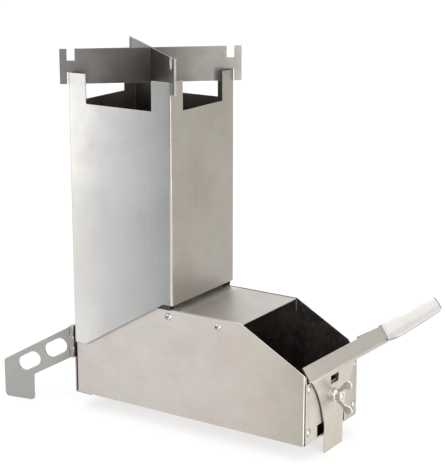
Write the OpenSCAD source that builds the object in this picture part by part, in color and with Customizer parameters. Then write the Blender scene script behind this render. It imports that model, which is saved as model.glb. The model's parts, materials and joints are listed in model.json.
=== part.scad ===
// Wood-burning rocket stove: a long fire box with a sloping feed mouth, a square lift-off
// chimney at its rear, two crossed pot supports, a front leg plate that carries the side
// handle and is clamped by a wing nut, and two hinged rear legs.
// Axes: -Y is the way the feed mouth looks, +X is the side that the handle stands out on, +Z is up.
// Origin: the middle of the front foot's sole, at ground level. The modules draw each piece about
// the flue's axis and the underside of the fire box floor, and on_ground() moves it to that origin.

/* [Chimney] */
// Outside width of the chimney, left to right
chimney_w = 102.4; // [94:0.1:110]
// Outside depth of the chimney, front to back
chimney_d = 114.4; // [104:0.2:120]
// Height of the tops of the four corner posts
chimney_top = 309.2; // [280:0.2:340]
// Depth of the flame notch between the corner posts
notch_depth = 27.3; // [20:0.1:40]
// Width of the corner posts on the side walls
side_post = 20.6; // [16:0.1:28]
// Width of the right side wall's front post
right_front_post = 17.6; // [16:0.1:28]
// Width of each corner post on the front and rear walls
front_post = 19.2; // [16:0.1:28]
// Gap between the deck and the lower edge of the front wall
front_gap = 5; // [3:0.1:12]
// Height of the lowest edge of the side flaps and the rear wall
flap_bottom = 51; // [50.8:0.1:60]

/* [Pot supports] */
// Length of each crossed pot support
pot_len = 167.6; // [160:0.2:180]
// Height of each pot support
pot_h = 32.2; // [28:0.1:40]
// Thickness of the pot support plate
pot_t = 2; // [1.5:0.1:3]
// Width of the tab at each end
pot_tab = 6.8; // [5:0.1:9]
// Width of the notches beside each tab
pot_notch_w = 7; // [5:0.1:9]
// Depth of the notches beside each tab
pot_notch_d = 10.8; // [8:0.1:13]

/* [Fire box] */
// Outside width over the two side panels
box_w = 96.6; // [94:0.1:97]
// Distance from the flue's axis to the face of the front panel
box_front = 195.2; // [180:0.2:210]
// Distance from the flue's axis to the rear edges of the side panels
box_rear = 56.3; // [50:0.1:56.8]
// Height of the deck
deck_z = 100.8; // [95:0.1:110]
// Distance from the flue's axis to the front edge of the deck
deck_front = 130; // [110:1:140]
// Height of the side panels at the front corner
nose_z = 65.5; // [62:0.1:75]
// Height of the front panel
front_panel_h = 56.5; // [50:0.1:56.6]
// Width of the air slot in the front panel
air_slot_w = 49.4; // [30:0.2:60]
// Height of the air slot
air_slot_h = 11; // [8:0.5:12]
// Height of the fuel grate above the floor
grate_h = 16; // [14:0.5:24]

/* [Front leg and handle] */
// Height of the fire box above the ground
ground_gap = 16.2; // [12:0.1:24]
// Width of the front leg at its foot
leg_w = 32.6; // [26:0.2:40]
// Radius of the flare that joins the leg to the handle strip
flare_r = 83; // [75:1:100]
// Height at which the plate bends back into the handle strip
bend_z = 57; // [57:0.1:60]
// Angle by which the handle strip leans back from upright
lean = 35; // [25:1:40]
// Distance from the centre line to the left tip of the strip
strip_left = 41.7; // [41:0.1:44]
// Distance from the centre line to the end of the grip
grip_end = 217.5; // [190:0.5:240]
// Length of the grip
grip_len = 114; // [90:1:120]
// Size across the wings of the wing nut
wing_span = 32; // [28:0.5:36]

/* [Rear legs] */
// Angle by which each rear leg is splayed outwards
splay = 10; // [4:1:20]
// Reach of a rear leg from its hinge pin
leg_reach = 76.3; // [66:0.1:80]
// Width of the foot
foot_w = 32.8; // [26:0.2:36]
// Height of the top of the hinge
hinge_top = 66.2; // [60:0.2:72]
// Height of the hinge
hinge_h = 31.8; // [26:0.2:34]

/* [Sheet metal] */
// Thickness of the chimney and fire box sheet
sheet = 1; // [0.8:0.1:1.2]
// Thickness of the leg, handle and bracket plate
plate = 1.5; // [1.2:0.1:1.6]
// Outside radius of the chimney's vertical bends
bend_r = 2; // [1.5:0.1:4]
// Outside radius of the fire box's front bends
box_bend_r = 1.6; // [1.2:0.1:2]

/* [Hidden] */
$fn = 64;

steel = [0.74, 0.74, 0.73];
pale_steel = [0.86, 0.87, 0.87];
grip_steel = [0.92, 0.92, 0.92];
dark_steel = [0.38, 0.37, 0.36];
eps = 0.5;

// Fire box
side_x = box_w / 2;
inner_x = side_x - sheet;
box_face = -box_front;
flange_face = box_face + sheet;
flange_w = 12;
shoulder_z = flap_bottom - 0.5;
chimney_rear = chimney_d / 2;
upper_rear = chimney_rear - 2 * sheet - 0.4;
slope_tan = (deck_z - nose_z) / (-flange_face - deck_front);
screw_y = [-50.5, -104.2];
screw_z = deck_z - 6.6;
screw_r = 2;
screw_turn = 27;
rivet_r = 1.6;
rivet_x = side_x - 7.3;
front_rivet_z = [11.3, 51.3];
rear_rivet_z = [15, 38];
air_slot_z = 2;
air_slot_x = -1.2;
panel_inset = 1.8;
window = [14.4, 7];
window_z = 50.5;
window_drop = 1.3;
bolt_z = 34.2;
bolt_r = 3;
neck = 6;
flue_hole = [80, 92];
deck_rear = upper_rear - 2 * sheet - 0.1;

// Chimney
rear_flange = 15;
flap_front_inset = 9.9;
flap_rear_inset = 13.6;
flap_corner = 2;
back_inset = 7.2;

// Leg plate
washer_t = 1;
leg_back = box_face - washer_t;
leg_front = leg_back - plate;
plate_bend_r = 5;
bend_len = plate_bend_r * tan(lean / 2);
grip_start = grip_end - grip_len;
strip_top = 15.4;
strip_taper = 0.0125;
arm_drop = 1.4;
grip_low = -4.2;
grip_top = 15.7;

// Rear bracket and hinges
bracket_gap = 2.7;
bracket_y = box_rear + bracket_gap;
bracket_w = 94;
bracket_flange = 18.8;
knuckle_r = 2.5;
pin_r = 1.5;
fit = 0.05;
hinge_x = 49.5;
hinge_y = bracket_y + knuckle_r;
hinge_bottom = hinge_top - hinge_h;
knuckle_h = hinge_h / 3;
knuckle_gap = 0.3;

// ---------- helpers ----------

// A flat outline drawn in Y and Z, made thick along +X from x
module from_side(x, thick) translate([x, 0, 0]) rotate([90, 0, 90]) linear_extrude(thick) children();

// A flat outline drawn in X and Z, made thick along +Y from y
module from_front(y, thick) translate([0, y + thick, 0]) rotate([90, 0, 0]) linear_extrude(thick) children();

module rounded_rect(size, r) {
    square([size[0] - 2 * r, size[1]], center = true);
    square([size[0], size[1] - 2 * r], center = true);
    for (x = [-1, 1], y = [-1, 1])
        translate([x * (size[0] / 2 - r), y * (size[1] / 2 - r)]) circle(r);
}

// A slot with round ends; length is between the centres of its ends
module stadium(length, r) {
    square([length, 2 * r], center = true);
    for (x = [-1, 1]) translate([x * length / 2, 0]) circle(r);
}

module hole_x(y, z, r) translate([0, y, z]) rotate([0, 90, 0]) cylinder(r = r, h = 2 * box_w, center = true);
module hole_y(x, z, r) translate([x, 0, z]) rotate([90, 0, 0]) cylinder(r = r, h = 3 * box_front, center = true);

// A domed head with its flat side at z = 0
module dome(r, h) {
    ball = (r * r + h * h) / (2 * h);
    intersection() {
        translate([0, 0, h - ball]) sphere(ball);
        cylinder(r = r, h = h);
    }
}

// A set rivet: domed head above z = 0, shank down through the sheets, and its flat tail
module rivet(head_r, head_h, grip) {
    dome(head_r, head_h);
    translate([0, 0, -grip]) cylinder(r = rivet_r, h = grip + head_h / 2);
    translate([0, 0, -grip - 1]) cylinder(r = 2.6, h = 1);
}

module washer(outer_r, inner_r, thick) difference() {
    cylinder(r = outer_r, h = thick);
    translate([0, 0, -eps]) cylinder(r = inner_r, h = thick + 2 * eps);
}

// Places a piece whose +Z is to point forwards, along -Y
module facing_front(x, y, z) translate([x, y, z]) rotate([90, 0, 0]) children();

// What a bend of radius r takes off the sharp corner at the origin, for a piece that lies to +X and +Y
module bend_relief(r, length) difference() {
    translate([-eps, -eps, 0]) cube([r + eps, r + eps, length]);
    translate([r, r, -eps]) cylinder(r = r, h = length + 2 * eps);
}

// Brings a piece from the flue's axis and the floor's underside to the part's own origin
module on_ground() translate([0, -(leg_front + plate / 2), ground_gap]) children();

// ---------- fire box ----------

module side_outline() polygon([
    [flange_face, 0], [box_rear, 0], [box_rear, shoulder_z], [upper_rear, shoulder_z],
    [upper_rear, deck_z], [-deck_front, deck_z], [flange_face, nose_z]
]);

module front_bend_relief() translate([-side_x, flange_face, -eps]) bend_relief(box_bend_r, deck_z);

// Left side panel: a flat side with flanges bent inwards at its front, bottom and rear edges
module side_panel_blank() {
    nose_inset = 1.5;
    difference() {
        from_side(-side_x, sheet) side_outline();
        for (y = screw_y) hole_x(y, screw_z, screw_r + 0.15);
        front_bend_relief();
    }
    difference() {
        from_front(flange_face, sheet) polygon([
            [-side_x, 0], [-side_x + flange_w, 0], [-side_x + flange_w, front_panel_h - 1],
            [-side_x + 5, front_panel_h - 1], [-side_x + 3.5, nose_z - nose_inset], [-side_x, nose_z - nose_inset]
        ]);
        for (z = front_rivet_z) hole_y(-rivet_x, z, rivet_r + fit);
        front_bend_relief();
    }
    difference() {
        translate([-side_x, upper_rear - sheet, sheet]) cube([flange_w, sheet, deck_z - sheet]);
        for (z = rear_rivet_z) hole_y(-rivet_x, z, rivet_r + fit);
    }
    translate([-side_x, flange_face, sheet]) cube([flange_w - 2, upper_rear - flange_face, sheet]);
}

module left_side_panel() color(steel) side_panel_blank();

// The right panel's front corner is cut back so that the handle strip passes over it
module right_side_panel() color(steel) {
    rise = 40;
    low = [leg_back + 1.3, bend_z - 0.9];
    difference() {
        mirror([1, 0, 0]) side_panel_blank();
        from_side(side_x - flange_w - eps, flange_w + 2 * eps) polygon([
            low, low + [rise * tan(lean), rise], [box_face - 20, low[1] + rise], [box_face - 20, low[1]]
        ]);
    }
}

module floor_plate() color(steel) difference() {
    translate([-inner_x + 0.1, flange_face + sheet, 0])
        cube([2 * inner_x - 0.2, upper_rear - flange_face - sheet, sheet]);
    for (p = bracket_rivet_at) translate([p[0], p[1], -eps]) cylinder(r = rivet_r + fit, h = sheet + 2 * eps);
}

module front_panel() color(steel) difference() {
    from_front(box_face, sheet) difference() {
        translate([-side_x + panel_inset, 0]) square([box_w - 2 * panel_inset, front_panel_h]);
        translate([air_slot_x - air_slot_w / 2, air_slot_z]) square([air_slot_w, air_slot_h]);
        translate([0, window_z]) square(window, center = true);
        translate([0, bolt_z]) square(neck + 0.2, center = true);
    }
    for (x = [-rivet_x, rivet_x], z = front_rivet_z) hole_y(x, z, rivet_r + fit);
}

module rear_panel() color(steel) difference() {
    translate([-inner_x + 0.1, upper_rear - 2 * sheet, 2 * sheet])
        cube([2 * inner_x - 0.2, sheet, deck_z - 2 * sheet]);
    for (x = [-rivet_x, rivet_x], z = rear_rivet_z) hole_y(x, z, rivet_r + fit);
}

// Top sheet with its long edges turned down inside the side panels
module deck_plate() color(steel) {
    half = inner_x - 0.1;
    r = 2;
    length = deck_front + deck_rear;
    difference() {
        translate([0, deck_rear, 0]) rotate([90, 0, 0]) linear_extrude(length) difference() {
            translate([-half, deck_z - flange_w]) square([2 * half, flange_w - r]);
            translate([-half + sheet, deck_z - flange_w - 1]) square([2 * (half - sheet), flange_w - r + 1]);
        }
        for (y = screw_y) hole_x(y, screw_z, screw_r + 0.15);
    }
    for (side = [-1, 1]) translate([side * (half - r), -deck_front, deck_z - r]) intersection() {
        rotate([-90, 0, 0]) difference() {
            cylinder(r = r, h = length);
            translate([0, 0, -eps]) cylinder(r = r - sheet, h = length + 2 * eps);
        }
        translate([side > 0 ? 0 : -r, 0, 0]) cube([r, length, r]);
    }
    difference() {
        translate([-half + r, -deck_front, deck_z - sheet]) cube([2 * (half - r), length, sheet]);
        translate([0, 0, deck_z - sheet - eps]) linear_extrude(sheet + 2 * eps) rounded_rect(flue_hole, 6);
    }
}

// Slotted shelf on turned-down edges: fuel lies on it, and air from the slot passes under it
module fuel_grate() color(dark_steel) {
    half = inner_x - 2.3;
    front = flange_face + sheet + 0.8;
    rear = 40;
    top = sheet + grate_h;
    difference() {
        translate([-half, front, top - 1.2]) cube([2 * half, rear - front, 1.2]);
        for (col = [-2:2], row = [0:4])
            translate([col * 15.5, front + 28 + row * 44, top - 1.2 - eps])
                linear_extrude(1.2 + 2 * eps) rotate(90) stadium(28, 3.2);
    }
    for (x = [-half, half - 1.2])
        translate([x, front, 2 * sheet]) cube([1.2, rear - front, top - 1.2 - 2 * sheet]);
}

module pan_screw() {
    difference() {
        dome(3.7, 2.4);
        for (a = [0, 90]) rotate(a) translate([-2.1, -0.45, 1.1]) cube([4.2, 0.9, 2]);
    }
    translate([0, 0, -7]) cylinder(r = screw_r, h = 7.4);
}

module at_deck_screws() for (side = [-1, 1], y = screw_y)
    translate([side * side_x, y, screw_z]) rotate([0, side * 90, 0]) rotate(screw_turn) children();

module deck_screws() color(pale_steel) at_deck_screws() pan_screw();

module deck_nuts() color(dark_steel) at_deck_screws() translate([0, 0, -2 * sheet - 0.1 - 3.2]) difference() {
    cylinder(r = 4, h = 3.2, $fn = 6);
    translate([0, 0, -eps]) cylinder(r = screw_r + fit, h = 3.2 + 2 * eps);
}

module front_rivets() color(pale_steel) for (x = [-rivet_x, rivet_x], z = front_rivet_z)
    facing_front(x, box_face, z) rivet(3.5, 2, 2 * sheet);

module rear_rivets() color(dark_steel) for (x = [-rivet_x, rivet_x], z = rear_rivet_z)
    translate([x, upper_rear, z]) rotate([-90, 0, 0]) rivet(3.2, 1.6, 2 * sheet);

// ---------- rear bracket and hinges ----------

bracket_rivet_at = [for (x = [-34, -12, 12, 34]) [x, bracket_y + plate - bracket_flange + 5.5]];

module knuckle(z, h) translate([0, 0, z]) cylinder(r = knuckle_r, h = h);
module pin_bore() translate([0, 0, hinge_bottom - 5]) cylinder(r = pin_r + fit, h = hinge_h + 10);

// Angle bracket under the floor: its upright wall carries the outer knuckles of both hinges
module rear_bracket() color(dark_steel) difference() {
    union() {
        translate([-bracket_w / 2, bracket_y, -plate]) cube([bracket_w, plate, hinge_top + plate]);
        translate([-bracket_w / 2, bracket_y + plate - bracket_flange, -plate])
            cube([bracket_w, bracket_flange, plate]);
        for (side = [-1, 1], z = [hinge_bottom, hinge_bottom + 2 * knuckle_h + knuckle_gap]) {
            translate([side * hinge_x, hinge_y, 0]) knuckle(z, knuckle_h - knuckle_gap);
            translate([side > 0 ? 0 : -hinge_x, bracket_y, z]) cube([hinge_x, plate, knuckle_h - knuckle_gap]);
        }
    }
    for (side = [-1, 1]) translate([side * hinge_x, hinge_y, 0]) pin_bore();
    for (p = bracket_rivet_at) translate([p[0], p[1], -plate - eps])
        cylinder(r = rivet_r + fit, h = plate + 2 * eps);
}

module bracket_rivets() color(dark_steel) for (p = bracket_rivet_at)
    translate([p[0], p[1], -plate]) rotate([180, 0, 0]) rivet(3.2, 1.6, plate + sheet);

module hinge_pin(side) color(pale_steel) translate([side * hinge_x, hinge_y, 0]) {
    translate([0, 0, hinge_bottom - 0.6]) cylinder(r = pin_r, h = hinge_h + 1.2);
    translate([0, 0, hinge_top]) dome(2.2, 1);
    translate([0, 0, hinge_bottom]) rotate([180, 0, 0]) dome(2.2, 1);
}
module hinge_pin_left() hinge_pin(-1);
module hinge_pin_right() hinge_pin(1);

// ---------- rear legs ----------

arm_slope = 0.579;
foot_inner = leg_reach - foot_w;

// The arm falls from the hinge to an upright foot; r runs outwards from the hinge pin
module rear_leg_outline() {
    near = knuckle_r + 0.7;
    difference() {
        offset(r = 4, $fn = 48) offset(r = -8, $fn = 48) offset(r = 4, $fn = 48) polygon([
            [-30, hinge_top - 0.3 + 30 * arm_slope], [leg_reach, hinge_top - 0.3 - leg_reach * arm_slope],
            [leg_reach, -ground_gap], [foot_inner, -ground_gap],
            [foot_inner, hinge_bottom - foot_inner * 0.56 + 0.2], [-30, hinge_bottom + 30 * 0.56 + 0.2]
        ]);
        translate([-60, -50]) square([60 + near, 200]);
    }
}

module leg_slots() for (c = [[17.9, 41.3], [47.7, 23.8]])
    translate(c) rotate(-30) stadium(11.8, 7.2);

module rear_leg() {
    difference() {
        union() {
            from_side(-plate / 2, plate) difference() {
                rear_leg_outline();
                leg_slots();
            }
            knuckle(hinge_bottom + knuckle_h, knuckle_h);
            translate([-plate / 2, 0, hinge_bottom + knuckle_h]) cube([plate, knuckle_r + 2, knuckle_h]);
        }
        pin_bore();
    }
}

module rear_leg_left() color(steel) translate([-hinge_x, hinge_y, 0]) rotate(splay) rear_leg();
module rear_leg_right() color(steel) mirror([1, 0, 0]) translate([-hinge_x, hinge_y, 0]) rotate(splay) rear_leg();

// ---------- chimney ----------

module flame_notches() {
    low = chimney_top - notch_depth;
    gap_y = chimney_d - 2 * side_post;
    gap_x = chimney_w - 2 * front_post;
    translate([-chimney_w, -gap_y / 2, low]) cube([2 * chimney_w, gap_y, notch_depth + 5]);
    translate([-gap_x / 2, -chimney_d, low]) cube([gap_x, 2 * chimney_d, notch_depth + 5]);
    translate([0, right_front_post - chimney_rear, low])
        cube([chimney_w, chimney_rear - right_front_post, notch_depth + 5]);
}

// Everything below the front wall's edge and the slanting edges of the side flaps
module flap_cut() from_side(-chimney_w, 2 * chimney_w) polygon([
    [-chimney_d, flap_bottom - 20], [-chimney_d, deck_z + front_gap],
    [-chimney_rear + flap_front_inset, deck_z + front_gap],
    [chimney_rear - flap_rear_inset, flap_bottom], [chimney_rear - flap_rear_inset, flap_bottom - 20]
]);

// Takes the sharp lower corner off the rear edges of both side flaps
module flap_corner_cut() from_side(-chimney_w, 2 * chimney_w) polygon([
    [chimney_rear - flap_corner - eps, flap_bottom - eps], [chimney_rear + eps, flap_bottom - eps],
    [chimney_rear + eps, flap_bottom + flap_corner + eps]
]);

module chimney_wrap() color(pale_steel) difference() {
    translate([0, 0, flap_bottom]) linear_extrude(chimney_top - flap_bottom) difference() {
        rounded_rect([chimney_w, chimney_d], bend_r);
        rounded_rect([chimney_w - 2 * sheet, chimney_d - 2 * sheet], bend_r - sheet);
    }
    translate([-chimney_w / 2 + rear_flange, 0, 0]) cube([chimney_w - 2 * rear_flange, chimney_d, 2 * chimney_top]);
    flap_cut();
    flap_corner_cut();
    flame_notches();
}

// Rear wall, spot-welded inside the two rear flanges of the wrap
module chimney_back() color(pale_steel) difference() {
    translate([-chimney_w / 2 + back_inset, chimney_rear - 2 * sheet, flap_bottom + flap_corner])
        cube([chimney_w - 2 * back_inset, sheet, chimney_top - flap_bottom - flap_corner]);
    flame_notches();
}

// Angle strip inside a side wall: the chimney stands on it on the deck
module seat_strip(side) color(dark_steel) mirror([side > 0 ? 0 : 1, 0, 0]) {
    outer = chimney_w / 2 - sheet;
    base = deck_z + fit;
    front = -chimney_rear + 3.2;
    length = 46 - front;
    translate([outer - 8, front, base]) cube([8, length, sheet]);
    translate([outer - sheet, front, base]) cube([sheet, length, 12]);
}
module seat_strip_left() seat_strip(-1);
module seat_strip_right() seat_strip(1);

// ---------- pot supports ----------

pot_angle = atan2(chimney_d, chimney_w);
upper_skew = 2;
pot_z = chimney_top + fit - pot_notch_d;
lap_w = 2.7;

module pot_plate_outline(lap_z) difference() {
    translate([-pot_len / 2, 0]) square([pot_len, pot_h]);
    for (side = [-1, 1], z = [-eps, pot_h - pot_notch_d])
        translate([side * (pot_len / 2 - pot_tab - pot_notch_w / 2) - pot_notch_w / 2, z])
            square([pot_notch_w, pot_notch_d + eps]);
    translate([-lap_w / 2, lap_z]) square([lap_w, pot_h / 2 + eps]);
}

module pot_plate(turn, lap_z) rotate(turn) translate([0, 0, pot_z])
    from_front(-pot_t / 2, pot_t) pot_plate_outline(lap_z);

// The lower support is open at the top of its middle. The upper one drops over it and stands a
// little askew in its wide notches.
module pot_support_lower() color(steel) pot_plate(-pot_angle, pot_h / 2 - 0.1);
module pot_support_upper() color(steel) pot_plate(pot_angle + upper_skew, -eps + 0.1);

// ---------- front leg, handle and clamp ----------

// The handle strip's own frame: +Z runs up the leaning strip, and its front face is at Y = 0
module on_strip() translate([0, leg_front + plate_bend_r, bend_z - bend_len]) rotate([-lean, 0, 0])
    translate([0, -plate_bend_r, -bend_len]) children();

function strip_edge(x) = strip_top - strip_taper * x;

// The round bites that leave the plate's edges flaring from the leg out to the strip
module flare_cut() for (side = [-1, 1]) {
    translate([side * (leg_w / 2 + flare_r), 0]) circle(flare_r, $fn = 180);
    translate([side * (leg_w / 2 + flare_r), -flare_r / 2]) square([2 * flare_r, flare_r], center = true);
}

module leg_handle_plate() color(steel) {
    arm_end = grip_start + grip_len - 8;
    flare_top = bend_z - bend_len;
    lap = 0.1;
    from_front(leg_front, plate) difference() {
        translate([-strip_left, -ground_gap]) square([2 * strip_left, flare_top + ground_gap + lap]);
        flare_cut();
        translate([0, window_z - window_drop / 2]) square([window[0], window[1] + window_drop], center = true);
        translate([0, bolt_z]) circle(bolt_r + 0.3);
    }
    from_front(leg_front, plate) polygon([
        [strip_left - 1, flare_top + lap], [grip_start, flare_top + lap], [grip_start, flare_top - arm_drop]
    ]);
    difference() {
        translate([0, leg_front + plate_bend_r, flare_top]) rotate([90, 0, -90])
            rotate_extrude(angle = lean) translate([plate_bend_r - plate, -grip_start])
                square([plate, grip_start + strip_left]);
        translate([-leg_w / 2 - flare_r, 0, 0]) rotate([90, 0, 0])
            cylinder(r = flare_r, h = 3 * box_front, center = true, $fn = 180);
    }
    on_strip() from_front(0, plate) difference() {
        polygon([
            [-strip_left, bend_len - lap], [arm_end, bend_len - lap], [arm_end, strip_edge(arm_end) - 1.4],
            [grip_start - fit, strip_edge(arm_end) - 1.4], [grip_start - fit, strip_edge(grip_start)],
            [-strip_left, strip_edge(-strip_left)]
        ]);
        translate([-leg_w / 2 - flare_r, -bend_z]) circle(flare_r, $fn = 180);
    }
}

// The sleeve seen from the front, along the strip from the grip's mouth: it swells a little behind
// the mouth and narrows towards its end. It is drawn smaller by inset and longer by past.
module grip_outline(inset, past) translate([grip_start, 0]) polygon([
    [-past, -1.6 + inset], [6, -2.9 + inset], [22, grip_low + inset], [70, -3.7 + inset],
    [grip_len - 8, -2.5 + inset], [grip_len + past, -0.9 + inset], [grip_len + past, 13.3 - inset],
    [82, 13.3 - inset], [30, 15.3 - inset], [12, grip_top - inset], [-past, 14.7 - inset]
]);

// Folded sleeve closed over the strip, with a tongue that backs the strip beside it
module handle_grip() color(grip_steel) on_strip() {
    wall = 0.9;
    crease = 4;
    tongue_start = grip_start - 42.9;
    difference() {
        intersection() {
            from_side(grip_start, grip_len) polygon([
                [-1.2, grip_top - 0.5], [-0.7, grip_top], [2.6, grip_top], [3, grip_top - 0.5],
                [3, grip_low + 1.6], [1.6, grip_low], [-0.6, grip_low], [-1.9, grip_low + 1], [-2.5, crease]
            ]);
            from_front(-5, 10) grip_outline(0, 0);
        }
        intersection() {
            from_side(grip_start - eps, grip_len + 2 * eps) polygon([
                [-fit, grip_top - wall], [plate + fit, grip_top - wall], [plate + fit, grip_low + wall],
                [-0.9, grip_low + wall], [-1.4, crease]
            ]);
            from_front(-5, 10) grip_outline(wall, 2 * eps);
        }
    }
    from_front(plate + fit, sheet) polygon([
        [tongue_start, 2.4], [tongue_start + 1, 1.4], [grip_start + 2, 1.4], [grip_start + 2, 12],
        [grip_start, 14.3], [tongue_start + 1.4, 16.5], [tongue_start, 15.6]
    ]);
}

// Round-head bolt with a square neck, held in the front panel from inside
module clamp_bolt() color(pale_steel) facing_front(0, box_face, bolt_z) {
    translate([0, 0, -sheet]) mirror([0, 0, 1]) dome(7, 3.2);
    translate([-neck / 2, -neck / 2, -sheet]) cube([neck, neck, sheet]);
    cylinder(r = bolt_r, h = 11.6);
}

module panel_washer() color(dark_steel) facing_front(0, box_face, bolt_z) washer(6, bolt_r + 0.3, washer_t);

nut_washer_t = 1.2;
wing_turn = 4;
module nut_washer() color(pale_steel) facing_front(0, leg_front, bolt_z) washer(6.2, bolt_r + 0.3, nut_washer_t);

module wing_outline() {
    tip_r = 3.8;
    translate([3.4, 0]) square([3.6, 5]);
    translate([3.8, 3]) rotate(47) translate([0, -2.4]) square([11, 5]);
    translate([wing_span / 2 - tip_r, 12.9]) circle(tip_r);
}

module wing_nut() color(pale_steel) facing_front(0, leg_front - nut_washer_t, bolt_z) rotate(wing_turn) {
    difference() {
        union() {
            cylinder(r = 6, h = 1.4);
            cylinder(r = 4.9, h = 6.8);
            translate([0, 0, 6.8]) cylinder(r1 = 4.9, r2 = 4.1, h = 0.7);
            for (turn = [90, 270]) rotate(turn) rotate([90, 0, 0])
                translate([0, 0, -1]) linear_extrude(2) wing_outline();
        }
        translate([0, 0, -eps]) cylinder(r = bolt_r + fit, h = 20);
    }
}

on_ground() left_side_panel();
on_ground() right_side_panel();
on_ground() floor_plate();
on_ground() front_panel();
on_ground() rear_panel();
on_ground() deck_plate();
on_ground() fuel_grate();
on_ground() deck_screws();
on_ground() deck_nuts();
on_ground() front_rivets();
on_ground() rear_rivets();
on_ground() rear_bracket();
on_ground() bracket_rivets();
on_ground() hinge_pin_left();
on_ground() hinge_pin_right();
on_ground() clamp_bolt();
on_ground() panel_washer();
on_ground() chimney_wrap();
on_ground() chimney_back();
on_ground() seat_strip_left();
on_ground() seat_strip_right();
on_ground() pot_support_lower();
on_ground() pot_support_upper();
on_ground() leg_handle_plate();
on_ground() handle_grip();
on_ground() nut_washer();
on_ground() wing_nut();
on_ground() rear_leg_left();
on_ground() rear_leg_right();
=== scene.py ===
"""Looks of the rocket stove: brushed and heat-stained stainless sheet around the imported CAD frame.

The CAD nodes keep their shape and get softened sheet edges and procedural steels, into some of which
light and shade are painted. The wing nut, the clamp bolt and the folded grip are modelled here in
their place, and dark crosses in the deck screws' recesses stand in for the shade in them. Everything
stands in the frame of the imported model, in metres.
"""
import json
import math

import bmesh
import bpy
from mathutils import Matrix, Vector


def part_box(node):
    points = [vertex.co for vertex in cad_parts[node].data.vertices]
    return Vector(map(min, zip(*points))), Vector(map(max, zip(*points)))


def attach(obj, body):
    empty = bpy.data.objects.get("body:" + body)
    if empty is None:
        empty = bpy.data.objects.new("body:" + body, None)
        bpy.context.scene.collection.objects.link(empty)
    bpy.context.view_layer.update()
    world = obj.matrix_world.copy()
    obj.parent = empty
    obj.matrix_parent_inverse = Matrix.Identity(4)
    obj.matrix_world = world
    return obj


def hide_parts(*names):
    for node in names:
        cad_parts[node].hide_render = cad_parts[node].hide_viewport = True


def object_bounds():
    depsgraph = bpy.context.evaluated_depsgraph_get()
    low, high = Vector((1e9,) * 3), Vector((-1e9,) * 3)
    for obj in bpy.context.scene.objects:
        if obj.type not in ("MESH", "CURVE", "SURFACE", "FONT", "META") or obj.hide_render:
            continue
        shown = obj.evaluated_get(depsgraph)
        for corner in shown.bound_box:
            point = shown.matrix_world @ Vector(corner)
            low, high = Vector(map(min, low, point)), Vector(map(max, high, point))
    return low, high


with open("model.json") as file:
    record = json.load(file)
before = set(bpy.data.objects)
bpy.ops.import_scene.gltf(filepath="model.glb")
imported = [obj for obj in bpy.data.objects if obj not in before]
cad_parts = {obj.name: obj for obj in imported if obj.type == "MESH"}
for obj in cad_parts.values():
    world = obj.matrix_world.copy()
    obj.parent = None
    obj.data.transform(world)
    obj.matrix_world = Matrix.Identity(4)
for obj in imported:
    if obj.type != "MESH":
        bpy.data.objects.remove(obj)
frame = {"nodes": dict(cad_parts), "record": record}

CAD_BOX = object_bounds()
MM = 0.001

# How wide the rounding of the sharp edges is
SHEET_EDGE = 0.22 * MM
FASTENER_EDGE = 0.2 * MM

# Scales of the fine and the broad brushing across its run, and how much longer than wide it is
FINE_BRUSHING = 2600.0
BROAD_BRUSHING = 520.0
GRAIN_STRETCH = 22.0
# How many scratches a metre holds, end to end and side by side
SCRATCHES_ALONG = 34.0
SCRATCHES_ACROSS = 260.0
# Scale of the patches in the soot
SOOT_PATCHES = 26.0
# How deep the bump of the brushing and that of the sheet's own slow waves are
GRAIN_HEIGHT = 0.03 * MM
WAVE_HEIGHT = 1.2 * MM

CAMERA_AZIMUTH = -56.68
CAMERA_ELEVATION = 14.63
CAMERA_DISTANCE = 1.3462
CAMERA_LENS = 113.41
# What the camera looks at, from the middle of the chimney wrap's front lower edge
CAMERA_AIM = (8.7 * MM, -15.1 * MM, 113.5 * MM)
FLOOR_RADIUS = 40.0

# The chimney's side flaps: how far in from each end their slanting lower edge starts, and its fall
FLAP_FRONT_INSET = 9.9 * MM
FLAP_REAR_INSET = 13.6 * MM
FLAP_FALL = 54.8 * MM

# The leg plate bends back into the handle strip at this height above its foot, by the angle LEAN
BEND_HEIGHT = 73.2 * MM
BEND_RADIUS = 5.0 * MM
PLATE_THICKNESS = 1.5 * MM
LEAN = math.radians(35.0)

# The grip's sleeve, and its tongue, which reaches back from the sleeve's mouth behind the strip
GRIP_LENGTH = 114.0 * MM
TONGUE_LENGTH = 42.0 * MM
# The section of the sleeve, in mm: the height of its crease, its top and bottom before it swells, its
# bottom at the mouth, its foremost Y, the length of its pinched mouth and the radius of its end corner
CREASE = 4.0
PLAIN_TOP = 13.3
PLAIN_LOW = -0.9
MOUTH_LOW = -1.5
GRIP_FRONT = -2.5
PINCH_LENGTH = 6.0
GRIP_CORNER = 3.2

# How far the recesses of the deck screws and the wing nut are turned about their own axes, in degrees
SCREW_TURN = 27.0
WING_TURN = 4.0

# The clamp bolt and the M6 thread on its shank
SHANK_RADIUS = 2.98 * MM
BOLT_HEAD_RADIUS = 7.0 * MM
THREAD_PITCH = 1.0 * MM
THREAD_DEPTH = 0.32 * MM
RINGS_PER_TURN = 8
SHANK_CHAMFER = 0.8 * MM


# ---------- node helpers ----------

def new_material(name):
    """An empty node material, with its node tree and its Principled shader."""
    material = bpy.data.materials.new(name)
    material.use_nodes = True
    tree = material.node_tree
    tree.nodes.clear()
    output = tree.nodes.new("ShaderNodeOutputMaterial")
    shader = tree.nodes.new("ShaderNodeBsdfPrincipled")
    tree.links.new(shader.outputs["BSDF"], output.inputs["Surface"])
    return material, tree, shader


def add(tree, kind, inputs=None, **settings):
    """A node of that kind; inputs maps socket names to values or to the sockets that feed them."""
    node = tree.nodes.new(kind)
    for key, value in settings.items():
        setattr(node, key, value)
    for key, value in (inputs or {}).items():
        if isinstance(value, bpy.types.NodeSocket):
            tree.links.new(value, node.inputs[key])
        else:
            node.inputs[key].default_value = value
    return node


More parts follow.
